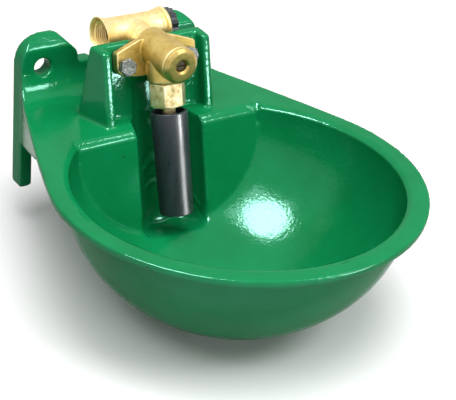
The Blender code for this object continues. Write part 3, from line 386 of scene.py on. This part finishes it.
def mark_edges(piece, rounds=2, gain=4):
    """Stores how sharply the surface turns outward at each point as the attribute edge."""
    mesh = piece.data
    ends = np.empty(len(mesh.edges) * 2, np.int32)
    mesh.edges.foreach_get("vertices", ends)
    one, other = ends.reshape(-1, 2).T
    count = np.bincount(ends, minlength=len(mesh.vertices))[:, None]
    normals = np.empty(len(mesh.vertices) * 3, np.float32)
    mesh.vertices.foreach_get("normal", normals)
    spots = points_of(mesh)
    length = np.linalg.norm(spots[one] - spots[other], axis=1).mean()

    def around(values):
        total = np.zeros_like(values)
        np.add.at(total, one, values[other])
        np.add.at(total, other, values[one])
        return total / np.maximum(count, 1)

    turn = ((spots - around(spots)) * normals.reshape(-1, 3)).sum(axis=1)[:, None] / length
    for _ in range(rounds):
        turn = 0.5 * turn + 0.5 * around(turn)
    edge = mesh.attributes.new("edge", "FLOAT", "POINT")
    edge.data.foreach_set("value", np.clip(0.5 + turn[:, 0] * gain, 0, 1).astype(np.float32))


valve = copy_of("valve_body", "cast_valve_body")
soften(valve, body_voxel, 4)
thin_out(valve, body_limit)
mark_edges(valve)

cast_brass, shader = shaded("cast_brass", (0.74, 0.53, 0.20), 0.46, 1.0)
grain = noise(cast_brass, 1500.0, 3.0, 0.6)
stain = noise(cast_brass, 90.0, 4.0, 0.65)
surface = bump(cast_brass, noise(cast_brass, 380.0, 2.0, 0.5), 0.00018)
surface = bump(cast_brass, grain, 0.00012, under=surface)
drive(cast_brass, shader.inputs["Normal"], surface)
rough = ramp(cast_brass, stain, [(0.30, (0.46, 0.32, 0.085)), (0.50, (0.60, 0.44, 0.13)),
                                 (0.72, (0.70, 0.53, 0.19))])
corner = node(cast_brass, "ShaderNodeAttribute", {"attribute_name": "edge"}).outputs["Fac"]
worn = node(cast_brass, "ShaderNodeMix", {"data_type": "RGBA"},
            i0=grey(cast_brass, corner, [(0.56, 0.0), (0.80, 0.8)]), i6=rough,
            i7=(0.84, 0.68, 0.34, 1))
drive(cast_brass, shader.inputs["Base Color"], worn.outputs[2])
drive(cast_brass, shader.inputs["Roughness"], grey(cast_brass, stain, [(0.3, 0.52), (0.7, 0.40)]))
paint(valve, cast_brass)
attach(valve, "base")
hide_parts("valve_body")

# Flange bolts. Plated hexagon bolts with chamfered heads go through flange, pad and panel into
# washers and nuts behind it. Each head stands turned as it was tightened.
face_spot = (0, -0.103106, -0.0008)    # on the leaning wall plane, level with the tube's pivot
bolt_frame = Matrix.Translation(face_spot) @ Matrix.Rotation(-lean, 4, "X")
bolt_aside = 0.0286
bolt_rise = 0.0275
hex_flats = 0.0130
hex_head = 0.0053                  # height of the head
zinc_voxel = 0.00028
bolt_limit = 60000                 # triangles
chamfer_slope = math.radians(30)
chamfer_start = 1.1                # its circle at the end is cut times this, in half widths
hexagon_reach = (0.42, 0.62)       # the hexagon's sides lie here, in widths across flats
end_play = 0.0004                  # points up to this far past an end count too


def chamfer_hexagon(piece, frame, across, top, bottom, cut=0.93):
    """Pulls a hexagon's corners in towards its ends, as a turned chamfer of 30 degrees does."""
    spots = points_of(piece.data)
    there = np.array(frame.inverted())
    local = spots @ there[:3, :3].T + there[:3, 3]
    reach = np.hypot(local[:, 0], local[:, 1])
    inside = np.minimum(top - local[:, 2], local[:, 2] - bottom)
    limit = cut * across / 2 * chamfer_start + np.maximum(inside, 0) / math.tan(chamfer_slope)
    low, high = (across * part for part in hexagon_reach)
    on_sides = (inside > -end_play) & (reach > low) & (reach < high)
    scale = np.where(on_sides, np.minimum(1, limit / np.maximum(reach, 1e-6)), 1)
    local[:, :2] *= scale[:, None]
    back_again = np.array(frame)
    put_points(piece.data, local @ back_again[:3, :3].T + back_again[:3, 3])


zinc_steel, shader = shaded("zinc_steel", (0.46, 0.47, 0.48), 0.38, 1.0)
spangle = noise(zinc_steel, 700.0, 4.0, 0.7)
surface = bump(zinc_steel, spangle, 0.00010)
drive(zinc_steel, shader.inputs["Normal"], surface)
drive(zinc_steel, shader.inputs["Base Color"],
      ramp(zinc_steel, spangle, [(0.34, (0.08, 0.09, 0.09)), (0.50, (0.25, 0.27, 0.27)),
                                 (0.66, (0.52, 0.56, 0.56))]))
drive(zinc_steel, shader.inputs["Roughness"], grey(zinc_steel, spangle, [(0.3, 0.55), (0.7, 0.42)]))

for side, hand in (("left", -1), ("right", 1)):
    bolt = copy_of("flange_bolt_" + side, "hex_bolt_" + side)
    soften(bolt, zinc_voxel, 2)
    head = bolt_frame @ Matrix.Translation((hand * bolt_aside, 0, bolt_rise)) \
        @ Matrix.Rotation(math.radians(90), 4, "X")
    into = np.array(head.inverted())
    tip = float((points_of(bolt.data) @ into[:3, :3].T + into[:3, 3])[:, 2].max())
    chamfer_hexagon(bolt, head, hex_flats, tip, tip - hex_head)
    thin_out(bolt, bolt_limit)
    paint(bolt, zinc_steel)
    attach(bolt, "base")
    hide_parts("flange_bolt_" + side)
    dress("flange_washer_" + side, zinc_steel, 0.0002)
    dress("flange_nut_" + side, zinc_steel, 0.0004)

# Supply pipe. A short through pipe, turned and brazed to the branch behind the valve. Its left
# mouth is flared, with the pipe thread inside; the right mouth ends in a rounded bead.
pipe_back = -0.0425
pipe_half = 0.0297
pipe_radius = 0.0134
pipe_bore = 0.0121
flare_start = -0.0175
flare_lip = 0.0158
bead_radius = 0.0155
branch_radius = 0.0112
branch_end = 0.0143                # from its saddle on the pipe
sunk = 0.0129                      # the branch's saddle lies this far from the pipe's axis
least_inward = 0.0003              # for points that lie beside the pipe's round wall
saddle_reach = 0.010               # along which the saddle's curve dies out
socket_radius = 0.0092
water_way = 0.0062
flare_parts = 12
flare_power = 2.2
flare_wall = 0.0010
thread_pitch = 0.0018
ridge_foot = 0.0003                # the ridge starts this far inside the wall
ridge_height = 0.0007
thread_inset = 0.0022              # from the mouth to the first ridge
thread_turns = 6
thread_parts = 48                  # in one turn
turn_steps = 96
fine_steps = 128


def rounded(corners, parts=5):
    """The outline through corners of (across, along, rounding)."""
    points = []
    for index, (across, along, rounding) in enumerate(corners):
        here = Vector((across, along))
        if rounding == 0:
            points.append(here)
            continue
        one = (Vector(corners[index - 1][:2]) - here).normalized()
        other = (Vector(corners[(index + 1) % len(corners)][:2]) - here).normalized()
        half = one.angle(other) / 2
        centre = here + (one + other).normalized() * (rounding / math.sin(half))
        first = here + one * (rounding / math.tan(half)) - centre
        last = here + other * (rounding / math.tan(half)) - centre
        sweep = math.pi - 2 * half
        for part in range(parts + 1):
            share = part / parts
            points.append(centre + (first * math.sin((1 - share) * sweep)
                                    + last * math.sin(share * sweep)) / math.sin(sweep))
    return points


def spun(bm, outline, place, steps=turn_steps):
    """Adds a closed outline of (across, along) spun round the place's own upright axis."""
    start = [bm.verts.new((across, 0, along)) for across, along in outline]
    line = [bm.edges.new(pair) for pair in zip(start, start[1:])]
    line.append(bm.edges.new((start[-1], start[0])))
    before = set(bm.verts) - set(start)
    bmesh.ops.spin(bm, geom=start + line, cent=(0, 0, 0), axis=(0, 0, 1),
                   angle=2 * math.pi, steps=steps, use_merge=True)
    new = [vert for vert in bm.verts if vert not in before]
    bmesh.ops.remove_doubles(bm, verts=new, dist=1e-7)
    new = [vert for vert in bm.verts if vert not in before]
    bmesh.ops.transform(bm, matrix=place, verts=new)
    return new


def round_piece(name, bm, sharp=True):
    """A finished round piece: faces outward, smooth, with its sharper edges kept or not."""
    bmesh.ops.recalc_face_normals(bm, faces=bm.faces)
    piece = piece_from(name, bm)
    piece.data.shade_smooth()
    if sharp:
        piece.data.set_sharp_from_angle(angle=math.radians(32))
    return piece


pipe_place = Matrix.Translation((0, pipe_back, barrel_height)) @ Matrix.Rotation(math.pi / 2, 4, "Y")
flare_length = flare_start + pipe_half
bm = bmesh.new()
outline = []
# outer side of the flare, from the lip inward
for part in range(flare_parts + 1):
    share = 1 - part / flare_parts
    outline.append(Vector((pipe_radius + (flare_lip - pipe_radius) * share ** flare_power,
                           -pipe_half + flare_length * (1 - share))))
# a low collar, a groove and the bead of the right mouth, then the bore
bead = [(pipe_radius, 0.0228, 0.0004), (0.0143, 0.0230, 0.0003), (0.0143, 0.0254, 0.0004),
        (pipe_radius + 0.0002, 0.0257, 0.0002), (pipe_radius + 0.0002, 0.0262, 0.0002),
        (bead_radius, 0.0264, 0.0015), (bead_radius, pipe_half, 0.0014),
        (pipe_bore + 0.0006, pipe_half, 0.0003), (pipe_bore, pipe_half - 0.0006, 0.0),
        (pipe_bore, flare_start, 0.0)]
outline += rounded(bead)
# inner side, back to the lip
for part in range(1, flare_parts + 1):
    share = part / flare_parts
    outline.append(Vector((pipe_bore + (flare_lip - flare_wall - pipe_bore) * share ** flare_power,
                           flare_start - flare_length * share)))
outline.append(Vector((flare_lip - flare_wall / 2, -pipe_half - 0.0004)))
spun(bm, outline, pipe_place, fine_steps)
# The branch is a hollow stub. Its back end follows the pipe's round wall, sunk into it.
barrel_place = Matrix.Translation((0, 0, barrel_height)) @ Matrix.Rotation(math.pi / 2, 4, "X")
branch = [(water_way, 0.0, 0), (0.0124, 0.0, 0), (0.0124, 0.0008, 0), (0.0117, 0.0022, 0),
          (branch_radius, 0.0040, 0), (branch_radius, branch_end, 0.0005),
          (socket_radius, branch_end, 0), (socket_radius, 0.0055, 0), (water_way, 0.0055, 0)]
for vert in spun(bm, rounded(branch), barrel_place):
    reach = -vert.co.y
    inward = math.sqrt(max(sunk ** 2 - (vert.co.z - barrel_height) ** 2, least_inward ** 2))
    share = max(0.0, 1 - reach / saddle_reach)
    vert.co.y = pipe_back - reach - inward * share - sunk * (1 - share)
# the thread's ridge inside each mouth
for mouth, hand in ((-pipe_half + thread_inset, 1), (pipe_half - thread_inset, -1)):
    rise = hand * thread_pitch
    ridge = [bm.verts.new((pipe_bore + ridge_foot, 0, mouth)),
             bm.verts.new((pipe_bore - ridge_height, 0, mouth + rise * 0.42)),
             bm.verts.new((pipe_bore + ridge_foot, 0, mouth + rise * 0.84))]
    face = bm.faces.new(ridge)
    before = set(bm.verts) - set(ridge)
    bmesh.ops.spin(bm, geom=[face] + ridge + list(face.edges), cent=(0, 0, 0), axis=(0, 0, 1),
                   dvec=(0, 0, rise / thread_parts), angle=2 * math.pi * thread_turns,
                   steps=thread_parts * thread_turns, use_merge=False)
    thread = [vert for vert in bm.verts if vert not in before]
    bmesh.ops.transform(bm, matrix=pipe_place, verts=thread)
pipe = round_piece("through_pipe", bm)

turned_brass, shader = shaded("turned_brass", (0.92, 0.74, 0.38), 0.24, 1.0)
rings = noise(turned_brass, 1.0, 2.0, 0.6, object_place(turned_brass, (2600, 30, 30)))
film = noise(turned_brass, 130.0, 4.0, 0.65)
surface = bump(turned_brass, rings, 0.000012)
surface = bump(turned_brass, noise(turned_brass, 900.0, 3.0), 0.00006, under=surface)
drive(turned_brass, shader.inputs["Normal"], surface)
drive(turned_brass, shader.inputs["Base Color"],
      ramp(turned_brass, film, [(0.32, (0.82, 0.62, 0.24)), (0.55, (0.92, 0.75, 0.38)),
                                (0.75, (0.96, 0.84, 0.52))]))
drive(turned_brass, shader.inputs["Roughness"], grey(turned_brass, film, [(0.3, 0.54), (0.7, 0.44)]))
paint(pipe, turned_brass)
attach(pipe, "base")
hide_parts("supply_tee")
dress("tee_ring", black_rubber, 0.0001)

# End plug. A ribbed plug of black plastic is pushed into the right end of the pipe; its ribs give
# grip for pulling it.
black_plastic, shader = shaded("black_plastic", (0.014, 0.017, 0.019), 0.36)
drive(black_plastic, shader.inputs["Base Color"],
      ramp(black_plastic, noise(black_plastic, 60.0, 3.0, 0.6),
           [(0.3, (0.010, 0.013, 0.015)), (0.7, (0.020, 0.026, 0.029))]))
surface = bump(black_plastic, noise(black_plastic, 900.0, 2.0), 0.00003)
drive(black_plastic, shader.inputs["Normal"], surface)
drive(black_plastic, shader.inputs["Roughness"],
      grey(black_plastic, noise(black_plastic, 220.0, 3.0), [(0.3, 0.30), (0.7, 0.44)]))
dress("end_plug", black_plastic, 0.0004)

# Nose plug. Turned from bar, it closes the front of the barrel on a sealing ring. A countersunk
# hole in its face leads to the flow screw. A groove runs round behind its rim.
barrel_front = 0.1145
seat_gap = 0.0003
nose_front = barrel_front + seat_gap
web = (0.1105, 0.1128)             # the web with the hole, back and front
spigot_end = 0.1010
bm = bmesh.new()
nose = [(0.0098, spigot_end, 0.0004), (0.0098, nose_front - 0.0002, 0.0),
        (0.0136, nose_front, 0.0002), (0.0136, nose_front + 0.0005, 0.0001),
        (0.0147, nose_front + 0.0006, 0.0003), (0.0147, nose_front + 0.0023, 0.0008),
        (0.0120, nose_front + 0.0046, 0.0009), (0.0062, nose_front + 0.0046, 0.0004),
        (0.0046, nose_front + 0.0030, 0.0003), (0.0046, web[1], 0.0), (0.0030, web[1], 0.0002),
        (0.0030, web[0], 0.0002), (0.0055, web[0], 0.0), (0.0055, spigot_end, 0.0003)]
spun(bm, rounded(nose), barrel_place)
plug = round_piece("turned_nose_plug", bm)
# its brass is darker than the pipe's, a painted shade for the plug's dim face
shaded_nose_brass, shader = shaded("shaded_nose_brass", (0.86, 0.66, 0.30), 0.26, 1.0)
film = noise(shaded_nose_brass, 260.0, 4.0, 0.7)
surface = bump(shaded_nose_brass, noise(shaded_nose_brass, 1.0, 2.0, 0.6, object_place(shaded_nose_brass, (60, 2600, 60))),
               0.000012)
surface = bump(shaded_nose_brass, noise(shaded_nose_brass, 700.0, 3.0), 0.00004, under=surface)
drive(shaded_nose_brass, shader.inputs["Normal"], surface)
drive(shaded_nose_brass, shader.inputs["Base Color"],
      ramp(shaded_nose_brass, film, [(0.30, (0.38, 0.27, 0.075)), (0.50, (0.52, 0.38, 0.12)),
                              (0.70, (0.66, 0.50, 0.19))]))
drive(shaded_nose_brass, shader.inputs["Roughness"], grey(shaded_nose_brass, film, [(0.3, 0.42), (0.7, 0.32)]))
paint(plug, shaded_nose_brass)
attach(plug, "base")
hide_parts("nose_plug")
dress("nose_seal", black_rubber, 0.0001)

# Flow screw and needle. The slotted screw behind the hole sets how far the needle closes the
# port. Their brass is painted dark, a painted shade for the screw deep in its hole.
shade_darkened_brass, shader = shaded("shade_darkened_brass", (0.20, 0.16, 0.10), 0.5, 1.0)
film = noise(shade_darkened_brass, 500.0, 4.0, 0.7)
drive(shade_darkened_brass, shader.inputs["Base Color"],
      ramp(shade_darkened_brass, film, [(0.3, (0.07, 0.06, 0.045)), (0.7, (0.24, 0.19, 0.12))]))
drive(shade_darkened_brass, shader.inputs["Normal"], bump(shade_darkened_brass, film, 0.00005))
drive(shade_darkened_brass, shader.inputs["Roughness"],
      grey(shade_darkened_brass, film, [(0.3, 0.62), (0.7, 0.42)]))
for name in ("flow_screw", "flow_needle"):
    dress(name, shade_darkened_brass, 0.0002)

# Valve inside. A seat ring is pressed into the outlet; the plunger with its rubber washer lies on
# it, held down by the spring, and its foot meets the rocker below.
white_nylon, shader = shaded("white_nylon", (0.74, 0.73, 0.67), 0.45)
drive(white_nylon, shader.inputs["Base Color"],
      ramp(white_nylon, noise(white_nylon, 120.0, 3.0),
           [(0.3, (0.66, 0.64, 0.57)), (0.7, (0.80, 0.79, 0.74))]))
drive(white_nylon, shader.inputs["Normal"], bump(white_nylon, noise(white_nylon, 1800.0), 0.00002))
stainless, shader = shaded("stainless", (0.58, 0.58, 0.58), 0.28, 1.0)
drive(stainless, shader.inputs["Roughness"],
      grey(stainless, noise(stainless, 800.0, 3.0), [(0.3, 0.36), (0.7, 0.20)]))
drive(stainless, shader.inputs["Normal"], bump(stainless, noise(stainless, 2600.0), 0.00001))
for name in ("valve_seat", "plunger_foot"):
    dress(name, white_nylon, 0.0002)
for name in ("plunger", "rocker_pin"):
    dress(name, stainless, 0.0001)
spring = copy_of("return_spring", "coiled_return_spring")
spring.data.shade_smooth()
paint(spring, stainless)
spots = points_of(spring.data)
outlet_lean = math.radians(15)
up_valve = np.array((0, math.sin(outlet_lean), math.cos(outlet_lean)))
along = spots @ up_valve
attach(spring, "plunger")
tuple(spots[along.argmin()])
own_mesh(spring)
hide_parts("return_spring")
dress("plunger_seal", black_rubber, 0.0002)

# Union nut. Forged and chamfered hexagon nut that clamps the pivot ring under the outlet. Tarnish
# lies on it in patches.
pivot_spot = (0, -0.1017, -0.0008)
tube_frame = Matrix.Translation(pivot_spot) @ Matrix.Rotation(-outlet_lean, 4, "X")
nut_flats = 0.0258
nut_span = (-0.0065, 0.0127)       # bottom and top, from the pivot
nut_cut = 0.955                    # its chamfer is lighter than the bolts'
nut_voxel = 0.00038
nut_limit = 120000                 # triangles
nut = copy_of("union_nut", "hex_union_nut")
soften(nut, nut_voxel, 3)
chamfer_hexagon(nut, tube_frame, nut_flats, nut_span[1], nut_span[0], nut_cut)
thin_out(nut, nut_limit)
mark_edges(nut)
nut_brass, shader = shaded("nut_brass", (0.84, 0.66, 0.30), 0.36, 1.0)
patches = noise(nut_brass, 170.0, 5.0, 0.7)
surface = bump(nut_brass, noise(nut_brass, 260.0, 3.0, 0.6), 0.00022)
surface = bump(nut_brass, noise(nut_brass, 1100.0, 3.0), 0.00006, under=surface)
drive(nut_brass, shader.inputs["Normal"], surface)
tarnish = ramp(nut_brass, patches, [(0.34, (0.42, 0.33, 0.14)), (0.50, (0.74, 0.60, 0.30)),
                                    (0.66, (0.90, 0.80, 0.56))])
corner = node(nut_brass, "ShaderNodeAttribute", {"attribute_name": "edge"}).outputs["Fac"]
worn = node(nut_brass, "ShaderNodeMix", {"data_type": "RGBA"},
            i0=grey(nut_brass, corner, [(0.56, 0.0), (0.85, 0.7)]), i6=tarnish,
            i7=(0.96, 0.84, 0.56, 1))
drive(nut_brass, shader.inputs["Base Color"], worn.outputs[2])
drive(nut_brass, shader.inputs["Roughness"], grey(nut_brass, patches, [(0.3, 0.50), (0.7, 0.28)]))
paint(nut, nut_brass)
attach(nut, "base")
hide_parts("union_nut")
dress("pivot_ring", white_nylon, 0.0002)

# Rocker and stem. The stem hangs by its pin in the rocker, so the tube can be pushed to any side.
for name in ("rocker", "tube_stem"):
    dress(name, nut_brass, 0.0003)

# Push tube. Moulded black plastic, a little narrower at its foot, with its ends rounded over; an
# animal's nose pushes it. A three-armed hub carries it on the stem under a nut.
tube_top = -0.0110                 # along the leaning axis, from the pivot
tube_length = 0.0840
tube_foot = tube_top - tube_length
tube_bore = 0.0121
tube_radii = (0.0149, 0.0138)      # at the top and at the foot
bm = bmesh.new()
wall = [(tube_bore, tube_top, 0.0006), (tube_radii[0], tube_top, 0.0011),
        (tube_radii[1], tube_foot, 0.0009), (tube_bore, tube_foot, 0.0006)]
spun(bm, rounded(wall), tube_frame, fine_steps)
tube = round_piece("black_push_tube", bm, sharp=False)
tube_plastic, shader = shaded("tube_plastic", (0.017, 0.022, 0.025), 0.40)
shader.inputs["IOR"].default_value = 1.5
smear = noise(tube_plastic, 1.0, 3.0, 0.6, object_place(tube_plastic, (150, 150, 20)))
surface = bump(tube_plastic, noise(tube_plastic, 1400.0, 2.0), 0.00001)
drive(tube_plastic, shader.inputs["Normal"], surface)
drive(tube_plastic, shader.inputs["Base Color"],
      ramp(tube_plastic, smear, [(0.3, (0.017, 0.022, 0.028)), (0.7, (0.026, 0.034, 0.042))]))
drive(tube_plastic, shader.inputs["Roughness"], grey(tube_plastic, smear, [(0.3, 0.26), (0.7, 0.36)]))
paint(tube, tube_plastic)
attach(tube, "tube")
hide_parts("push_tube")
dress("tube_hub", black_plastic, 0.0003)
dress("hub_nut", zinc_steel, 0.0004)

# Floor and light. The bowl stands on a white studio floor that takes a soft shadow. Large soft
# boxes above and in front light it without being mirrored. Its bright patches and lines come from
# other boxes, which are mirrored and light nothing.
floor_half = 3.0
floor_gap = 0.0005                 # under the lowest point
floor_spot = (0, -0.2, cad_box[0][2] - floor_gap)
bm = bmesh.new()
bmesh.ops.create_grid(bm, x_segments=1, y_segments=1, size=floor_half)
bmesh.ops.translate(bm, vec=floor_spot, verts=bm.verts)
floor = piece_from("studio_floor", bm)


def shown_directly(made):
    """1 for what the camera sees itself, or in a mirror or through glass, and 0 for lighting."""
    path = node(made, "ShaderNodeLightPath").outputs
    seen = node(made, "ShaderNodeMath", {"operation": "MAXIMUM"}, i0=path["Is Camera Ray"],
                i1=path["Is Glossy Ray"])
    return node(made, "ShaderNodeMath", {"operation": "MAXIMUM"}, i0=seen.outputs[0],
                i1=path["Is Transmission Ray"]).outputs[0]


paper, shader = shaded("white_paper", (0.90, 0.90, 0.90), 0.9)
shader.inputs["Specular IOR Level"].default_value = 0.0
drive(paper, shader.inputs["Base Color"],
      grey(paper, shown_directly(paper), [(0.0, 0.40), (1.0, 0.96)]))
paint(floor, paper)


ellipse_fill = 0.7854              # how much of its rectangle an ellipse fills


def soft_box(name, azimuth, elevation, distance, size, radiance, target, shown=True, lights=True,
             shape="RECTANGLE"):
    """An area light facing the target, from a direction in degrees round and up.

    A box that is not shown leaves no reflection; one that does not light leaves only that.
    """
    data = bpy.data.lights.new(name, "AREA")
    data.shape = shape
    data.size, data.size_y = size
    filled = ellipse_fill if shape == "ELLIPSE" else 1
    data.energy = radiance * size[0] * size[1] * math.pi * filled
    lamp = bpy.data.objects.new(name, data)
    around, up = math.radians(azimuth), math.radians(elevation)
    direction = Vector((math.sin(around) * math.cos(up), -math.cos(around) * math.cos(up),
                        math.sin(up)))
    lamp.location = Vector(target) + direction * distance
    lamp.rotation_euler = direction.to_track_quat("Z", "Y").to_euler()
    lamp.visible_glossy = shown
    lamp.visible_diffuse = lights
    bpy.context.scene.collection.objects.link(lamp)
    return lamp


middle = (0.03, -0.17, -0.05)
posts = (0.0, -0.10, 0.02)
tube_middle = (0.0, -0.13, -0.05)
far_off = 3.0
close_by = 1.2
# mirrored in the enamel alone
enamel_shine = [
    soft_box("top_box", -93, 67, far_off, (1.75, 1.45), 40.0, middle, lights=False, shape="ELLIPSE"),
    soft_box("key_shine", 40, 50, far_off, (0.7, 0.6), 18.0, middle, lights=False),
    soft_box("front_box", 28, -4.0, close_by, (0.50, 0.13), 40.0, posts, lights=False)]
enamel_only = bpy.data.collections.new("enamel_only")
enamel_only.objects.link(casting)
for shine in enamel_shine:
    shine.light_linking.receiver_collection = enamel_only
# soft light, not mirrored
soft_box("sky_box", -62, 69, far_off, (2.8, 2.8), 3.2, middle, shown=False)
soft_box("high_box", 5, 80, far_off, (1.8, 1.8), 4.6, middle, shown=False)
soft_box("key_box", 26, 50, far_off, (1.5, 1.0), 7.0, middle, shown=False)
soft_box("fill_box", -4, 18, far_off, (2.5, 1.0), 2.6, middle, shown=False)
# mirrored in every piece, and set for the brass
soft_box("metal_top", -78, 66, far_off, (1.8, 1.7), 7.0, middle, lights=False)
soft_box("metal_key", 35, 50, far_off, (1.1, 0.8), 9.0, middle, lights=False)
soft_box("metal_front", 22, -2.6, close_by, (0.60, 0.07), 11.0, posts, lights=False)
# a narrow strip low in front draws the long highlight down the tube, and nothing shades it
strip = soft_box("tube_strip", 34, -4, close_by, (0.075, 0.9), 150.0, tube_middle, lights=False)
tube_only = bpy.data.collections.new("tube_only")
tube_only.objects.link(tube)
strip.light_linking.receiver_collection = tube_only
strip.light_linking.blocker_collection = tube_only

world = bpy.data.worlds.new("studio")
world.use_nodes = True
bpy.context.scene.world = world
sky = world.node_tree.nodes["Background"]
sky.inputs["Color"].default_value = (1, 1, 1, 1)
drive(world, sky.inputs["Strength"], grey(world, shown_directly(world), [(0.0, 0.14), (1.0, 1.0)]))

bpy.context.scene.view_settings.view_transform = "Standard"
